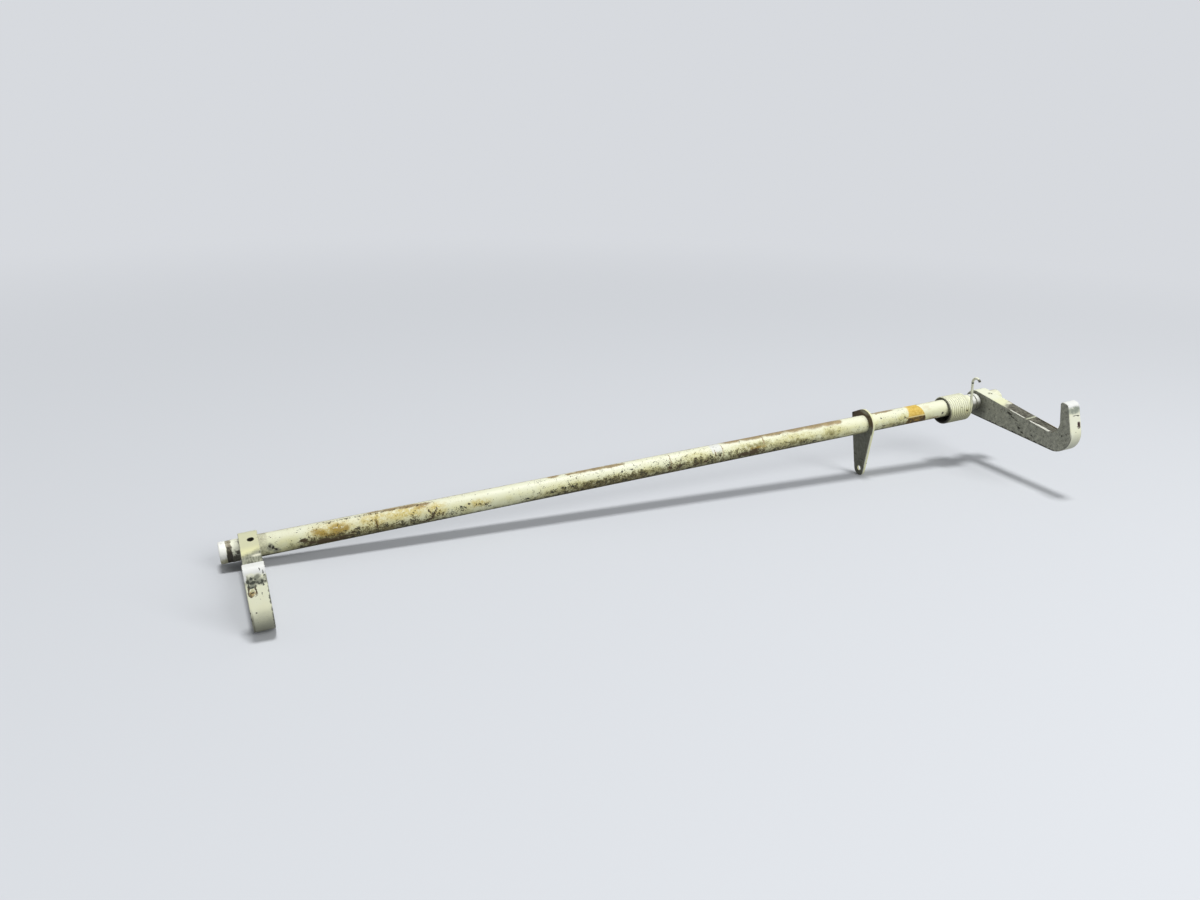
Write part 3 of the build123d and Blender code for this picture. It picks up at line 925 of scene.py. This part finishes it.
def dress_hook(node, middle, twist, look, marks):
    """Give a hook its finish. The marks are ovals in (across, reach, height) from its middle."""
    finish = Finish(node + "_enamel", ENAMEL)
    at = hook_signals(finish, middle, twist)
    u, v, medium = at.u, at.v, at.medium
    coarse = finish.noise(at.solid, 16.0, detail=2.0)
    paint = finish.two_tone(coarse, 0.4, 0.62, *look.paint)
    start = look.rub_start
    rub_line = u + at.x * 0.5 + at.uneven * rub_soft * 1.5
    floor = finish.rise(v, floor_top - 1.6, floor_top - 0.9) * finish.fall(u, *floor_to_beak)
    rubbed = finish.rise(rub_line, start - rub_soft, start + rub_soft) * floor
    hole = finish.spots(finish.vector(at.x, u), 0.1, [(hole_place, (*look.hole, UNLIMITED))])
    near_edge = finish.rise(at.side, plate_half - 1.2, plate_half - 0.3)
    low_edge = finish.fall(v - u * bar_taper - bar_bottom, 0.4, 2.6) * near_edge
    chip_level = at.fine * 0.6 + medium * 0.5 + near_edge * 0.05 + low_edge * 0.19
    chips = finish.rise(chip_level, 0.69, 0.72)
    colour = finish.cover(paint, [
        *enamel_coats(finish, at, look),
        *mouth_coats(finish, at, rubbed, look.floor),
        # The hole is painted black: painted shade in the hole.
        (hole * finish.rise(v, 0.0, 1.0), SOOT),
        (chips * 0.85, SOOT),
    ])
    marks_depth = 0.0
    for tone, edge, places in marks:
        mark = finish.spots(at.ragged, edge, places)
        colour = finish.blend(mark * finish.rise(medium, 0.25, 0.5), colour, tone)
        marks_depth = mark * 0.2 + marks_depth
    roughness = 0.42 + at.on_side * 0.2 + rubbed * 0.1 + medium * 0.1
    relief = medium * 0.35 + at.fine * 0.12 - chips * 0.6 - marks_depth
    finish.surface(colour, roughness, relief, 0.15)
    dress(node, finish)


# %% [markdown]
# The outer face of a beak leans back in a straight line, so a mark on it needs only its place
# across and its height. The left beak has a grimy patch below its tip with a dark crust on it, and
# lower down an ochre spot inside an almost closed ring of umber, like the print of a washer.

# %% The left hook
beak_foot = (115.3, -1.7)
beak_lean = 0.4369


def on_beak(marks):
    """Ovals on a beak's outer face, from (across, height, half across, half height)."""
    foot_reach, foot_height = beak_foot
    return [
        ((across, foot_reach - (height - foot_height) * beak_lean, height), (wide, 3.0, tall))
        for across, height, wide, tall in marks
    ]


grimy_patch = on_beak([
    (-1.4, 34.6, 4, 2.8), (-4.9, 35.2, 1.6, 2.6), (2.6, 33.6, 2.4, 1.9), (-2.6, 31.8, 2.6, 1.3),
    (5.2, 34.4, 1.3, 2), (0.9, 36.4, 2.2, 1.4),
])
dark_crust = on_beak([
    (-1.9, 33.6, 1.8, 0.9), (-4.2, 34.4, 0.8, 1.5), (-4.4, 31.8, 0.6, 1.5),
    (-2.8, 31.1, 1.7, 0.55), (-0.7, 31.6, 0.7, 0.8), (0.7, 33.1, 0.9, 1), (2.2, 32.6, 1.3, 0.45),
    (3.6, 33.5, 0.9, 0.9), (4.9, 33.2, 0.9, 0.6), (5, 38.4, 0.5, 1), (5.2, 36.5, 0.8, 0.5),
    (-2.4, 36, 0.8, 0.9), (-0.4, 35.2, 0.8, 0.5), (4, 31.8, 0.4, 0.7), (3, 40, 0.4, 0.6),
])
umber_ring = on_beak([
    (-4.9, 30.4, 0.5, 1.3), (-5, 28.6, 0.45, 1.4), (-4.5, 27, 0.8, 0.5), (-3.3, 26.3, 1.1, 0.45),
    (-1.9, 26.3, 1, 0.45), (-0.9, 27.1, 0.55, 0.9), (-0.5, 28.6, 0.4, 1.3), (-0.8, 30.2, 0.45, 1),
    (-3.3, 28, 1.2, 0.35),
])
beak_specks = on_beak([
    (-2.9, 17, 0.5, 0.4), (-2.6, 28.5, 0.7, 0.35), (2.2, 27, 0.3, 0.6), (-6.2, 17.5, 0.5, 0.5),
    (-6.2, 13, 0.4, 1.4), (1, 24, 0.25, 0.2),
])
left_look = SimpleNamespace(
    paint=(CREAM, YELLOW_CREAM),
    hub=(0.62, 0.62, 0.42),
    floor=((0.38, 0.39, 0.29), (0.13, 0.135, 0.095)),
    heel=0.75,
    corner=0.5,
    hole=(2.35, 2.8),
    rub_start=26.0,
)
dress_hook("left_hook", hook_middle, 0.0, left_look, [
    ((0.24, 0.25, 0.19), 0.5, grimy_patch),
    ((0.05, 0.055, 0.04), 0.35, dark_crust),
    ((0.13, 0.13, 0.1), 0.4, [((plate_half, 108.4, 14.0), (0.7, 14.0, 24.0))]),
    (BARE_WHITE, 0.3, on_beak([(-5.9, 38.0, 0.9, 4.0), (5.9, 39.5, 0.9, 2.4)])),
    ((0.44, 0.29, 0.075), 0.4, on_beak([(-2.9, 28.0, 1.9, 1.3), (-3.2, 26.9, 1.6, 0.8)])),
    ((0.62, 0.6, 0.35), 0.4, on_beak([(-2.7, 29.4, 1.2, 0.9)])),
    (UMBER, 0.3, umber_ring),
    (SOOT, 0.3, beak_specks),
    ((0.4, 0.4, 0.34), 0.6, [
        ((2.5, 10.0, -5.5), (1.6, 4.0, 1.6)), ((-2.5, 10.5, -4.5), (1.8, 4.0, 1.2)),
    ]),
])

# %% [markdown]
# The right hook is paler, and its mouth is darker. Its beak has a grey patch right under the tip, a
# blot of dried dark red in the middle and a black foot at the near side, which is painted shade in
# the corner, and its flat side has knocks along the top and the bottom of the bar.

# %% The right hook
def on_flat_side(marks):
    """Ovals on the side that faces the left end, from (reach, height, half lengths of both)."""
    return [
        ((-plate_half, reach, height), (0.8, long, tall)) for reach, height, long, tall in marks
    ]


beak_lines = on_beak([(0.5, 32.4, 3.0, 0.3), (3.6, 31.9, 1.6, 0.45), (0.0, 19.5, 0.5, 0.3)])
side_knocks = on_flat_side([
    (41.5, 7.4, 3, 1), (45.5, 5.6, 2.4, 0.6), (51, 4.6, 3, 0.35), (55, -0.6, 2, 1),
    (59.5, -3, 1.6, 0.7), (99, 13, 0.8, 0.8), (50, -7, 1.2, 0.8), (70, -1, 1.4, 0.6),
])
right_look = SimpleNamespace(
    paint=(PALE_CREAM, CREAM),
    hub=(0.84, 0.86, 0.68),
    floor=((0.2, 0.195, 0.15), (0.05, 0.046, 0.032)),
    heel=0.45,
    corner=0.85,
    hole=(2.05, 2.05),
    rub_start=31.0,
)
dress_hook("right_hook", hook_middle + hook_pitch, right_hook_twist, right_look, [
    ((0.29, 0.325, 0.26), 0.4, on_beak([(0.5, 36.6, 7.5, 3.2)])),
    # Painted shade: a black strip down the near corner of the beak's foot.
    (SOOT, 0.4, [((-6.15, 112.5, 4.0), (0.7, 6.0, 9.0))]),
    (SOOT, 0.3, beak_lines + side_knocks),
    ((0.035, 0.009, 0.007), 0.35, on_beak([
        (3.8, 25.6, 1.6, 1.6), (3.3, 22.9, 1.5, 1.3), (4, 24.2, 1.6, 2.3),
    ])),
    (RUST_BROWN, 0.4, [
        ((5.9, 80.0, floor_top), (0.5, 9.0, 1.2)), ((5.9, 30.0, floor_top), (0.8, 3.0, 1.2)),
    ]),
])

# %% [markdown]
# ## Finish of the lever arm
#
# The arm's left side is dark, partly with grease and partly as painted shade, darkest and brown
# above the tube, with a pale arc where the rim has been rubbed. A painted highlight runs along its
# thin front edge. The edge leans, so the mask uses a turned distance.

# %% Enamel of the lever arm
arm_station = hook_middle + 519.0
front_edge_lean = radians(6.425)
enamel = Finish("arm_enamel", ENAMEL)
x, u, v, solid, medium, fine, uneven = part_noise(enamel, arm_station)
ragged = enamel.wobble(solid, 1.5, 1.0)
left_face = enamel.fall(x, 0.4, 0.7)
# Grease and painted shade on the left face.
grease_and_shade = enamel.two_tone(medium, 0.35, 0.65, (0.2, 0.205, 0.17), (0.13, 0.13, 0.1))
to_front_edge = u * cos(front_edge_lean) - v * sin(front_edge_lean)
# A painted highlight along the front edge.
front_edge = enamel.rise(to_front_edge, 12.3, 12.5) * enamel.fall(v, -8.0, -4.0) * left_face
# Brown grease and painted shade above the tube.
above_tube = enamel.rise(v + uneven * 4.0, -1.0, 3.5) * enamel.fall(x, 0.3, 0.8)
brown_grease_and_shade = enamel.blend(medium, (0.16, 0.1, 0.04), (0.06, 0.04, 0.02))
pale_arc = enamel.spots(ragged, 0.4, [((0.6, -1.0, 11.4), (3.0, 6.5, 1.5))])
arm_marks = enamel.spots(ragged, 0.3, [
    ((1.2, -14.8, 5.0), (2.0, 2.2, 1.6)), ((0.0, -6.5, -31.5), (1.0, 3.0, 0.35)),
    ((0.0, 5.0, -33.0), (1.0, 3.0, 0.3)), ((1.6, 12.0, -27.0), (1.2, 1.0, 0.8)),
    ((2.2, 9.6, -35.5), (1.0, 0.8, 0.8)),
])
arm_chips = enamel.rise(fine * 0.6 + medium * 0.5, 0.72, 0.75)
arm_colour = enamel.cover(enamel.blend(medium, CREAM, YELLOW_CREAM), [
    (left_face * 0.95, grease_and_shade),
    (front_edge * 0.9, PALE_CREAM),
    (above_tube * 0.9, brown_grease_and_shade),
    (pale_arc * left_face * 0.75, (0.34, 0.33, 0.24)),
    (enamel.most([arm_marks, arm_chips]) * 0.85, SOOT),
])
roughness = 0.45 + left_face * 0.2 + medium * 0.1
enamel.surface(arm_colour, roughness, medium * 0.4 - arm_chips * 0.5, 0.12)
dress("lever_arm", enamel)

# %% [markdown]
# ## Finish of the pins
#
# The left cross pin sits deep in its hole and is painted near black, as painted shade of the hole.
# The right one is nearly flush and was painted over with the hook, with three specks in a row on it.
# Only their ends show, so one noise between two tones is enough.

# %% The pins
right_pin_specks = [
    ((hook_middle + hook_pitch + across, reach, 10.8), (0.42, 0.5, 2.0))
    for across, reach in ((0.16, 8.9), (1.6, 8.2), (3.0, 8.8))
]
for node, low_tone, high_tone, specks in (
    # Painted shade: the deep left pin is near black.
    ("left_hook_pin", (0.02, 0.018, 0.013), (0.07, 0.06, 0.045), []),
    ("right_hook_pin", (0.72, 0.72, 0.52), PALE_CREAM, right_pin_specks),
):
    finish = Finish(node + "_surface", {"Specular IOR Level": 0.4})
    solid = finish.vector(*part_position(finish))
    grain = finish.noise(solid, 0.8)
    colour = finish.blend(grain, low_tone, high_tone)
    if specks:
        colour = finish.blend(finish.spots(solid, 0.3, specks), colour, SOOT)
    finish.surface(colour, 0.45 + grain * 0.3, grain, 0.1)
    dress(node, finish)

# %% [markdown]
# ## Finish of the spring
#
# The wire is cream, paler on top as a painted highlight and darker low down as painted shade. The
# grooves between its turns, its inside and its first turn beside the tang are painted dark as shade,
# and the tip at the hook is bare and black. How deep a point lies in a groove is its distance from
# the coil's axis, so no mask has to follow the turns.

# %% Enamel of the spring
enamel = Finish("spring_enamel", ENAMEL)
x, u, v, solid, medium, fine, uneven = part_noise(enamel, coil_start)
ragged = enamel.wobble(solid, 1.2, 0.7)
from_axis = enamel.length(enamel.vector(u, v + coil_drop))
# Painted shade in the grooves and inside the coil.
in_groove = enamel.fall(from_axis + uneven * 0.8, coil_radius + 0.25, coil_radius + 0.95)
inside = enamel.fall(from_axis, coil_radius - 0.3, coil_radius + 0.2)
# Painted shade low down and a painted highlight on top.
low = enamel.fall(v, -9.0, 4.0)
high = enamel.rise(v, -2.0, 7.0)
spring_freckles = enamel.rise(fine * 0.7 + medium * 0.3 + low * 0.05, 0.66, 0.7)
# Painted shade on the first turn.
first_turn = enamel.fall(x + uneven * 2.4 + (fine - 0.5) * 1.2, 0.7, 1.2)
halo = enamel.spots(ragged, 0.6, [((19.5, 11.8, -1.0), (1.9, 3.0, 1.9))])
spring_marks = enamel.spots(ragged, 0.3, [
    ((19.5, 12.3, -0.6), (0.75, 3.0, 0.75)), ((13.0, 12.0, 3.2), (0.5, 3.0, 0.35)),
    ((coil_length, 8.2, 24.4), (1.5, 1.5, 0.8)), ((coil_length, 15.7, 28.4), (2.5, 2.3, 2.0)),
    ((0.2, 6.0, -11.5), (0.9, 5.0, 1.6)),
])
spring_paint = enamel.blend(medium * 0.8, CREAM, YELLOW_CREAM)
spring_colour = enamel.cover(spring_paint, [
    (high * 0.8, PALE_CREAM),
    (low * 0.7, (0.3, 0.295, 0.18)),
    (in_groove * (0.25 + low * 0.7), (0.16, 0.145, 0.08)),
    (inside * 0.9, (0.04, 0.04, 0.035)),
    (spring_freckles * 0.6, RUST_BROWN),
    (first_turn * (0.85 - high * 0.4), SOOT),
    (halo * 0.5, (0.66, 0.6, 0.3)),
    (spring_marks * 0.9, SOOT),
])
roughness = 0.42 + in_groove * 0.25 + medium * 0.1
relief = medium * 0.4 - spring_marks * 0.6 - spring_freckles * 0.3
enamel.surface(spring_colour, roughness, relief, 0.1)
spring.data.materials.append(enamel.material)

# %% [markdown]
# ## The floor
#
# The floor is a plain pale sheet, wide enough to fill the view. The camera sees it pale, but the
# light that bounces off it comes from a darker grey, so the part's underside stays dark. Far from
# the part it goes over into the colour of the backdrop, so no horizon shows.

# %% The floor
floor_size = 60.0
floor_level = packed_box[0][2]
FLOOR_BOUNCE = (0.34, 0.35, 0.37)
FLOOR_SEEN = (0.65, 0.67, 0.7)
bpy.ops.object.select_all(action="DESELECT")
bpy.ops.mesh.primitive_plane_add(size=floor_size, location=(middle.x, middle.y, floor_level))
floor = bpy.context.object
floor.name = "floor"
sheet = Finish("floor_paint", {"Roughness": 0.95, "Specular IOR Level": 0.1})
seen = sheet.most([
    sheet.node("ShaderNodeLightPath", {}, {}, ray)
    for ray in ("Is Camera Ray", "Is Glossy Ray", "Is Transmission Ray")
])
floor_colour = sheet.blend(seen, FLOOR_BOUNCE, FLOOR_SEEN)
sheet.feed(sheet.shader.inputs["Base Color"], floor_colour)
place = sheet.node("ShaderNodeNewGeometry", {}, {}, "Position")
from_middle = sheet.vector_math("DISTANCE", place, middle, output="Value")
far = sheet.rise(from_middle, 0.42, 1.9)
glow = sheet.node("ShaderNodeEmission", {}, {"Color": BACKDROP, "Strength": 1.0})
paint = Signal(sheet, sheet.shader.outputs[0])
floor_mix = sheet.node("ShaderNodeMixShader", {}, {0: far * seen, 1: paint, 2: glow})
sheet.feed(sheet.tree.nodes["Material Output"].inputs["Surface"], floor_mix)
floor.data.materials.append(sheet.material)
print("floor:", floor_size, "m wide, at height", round(floor_level, 4))
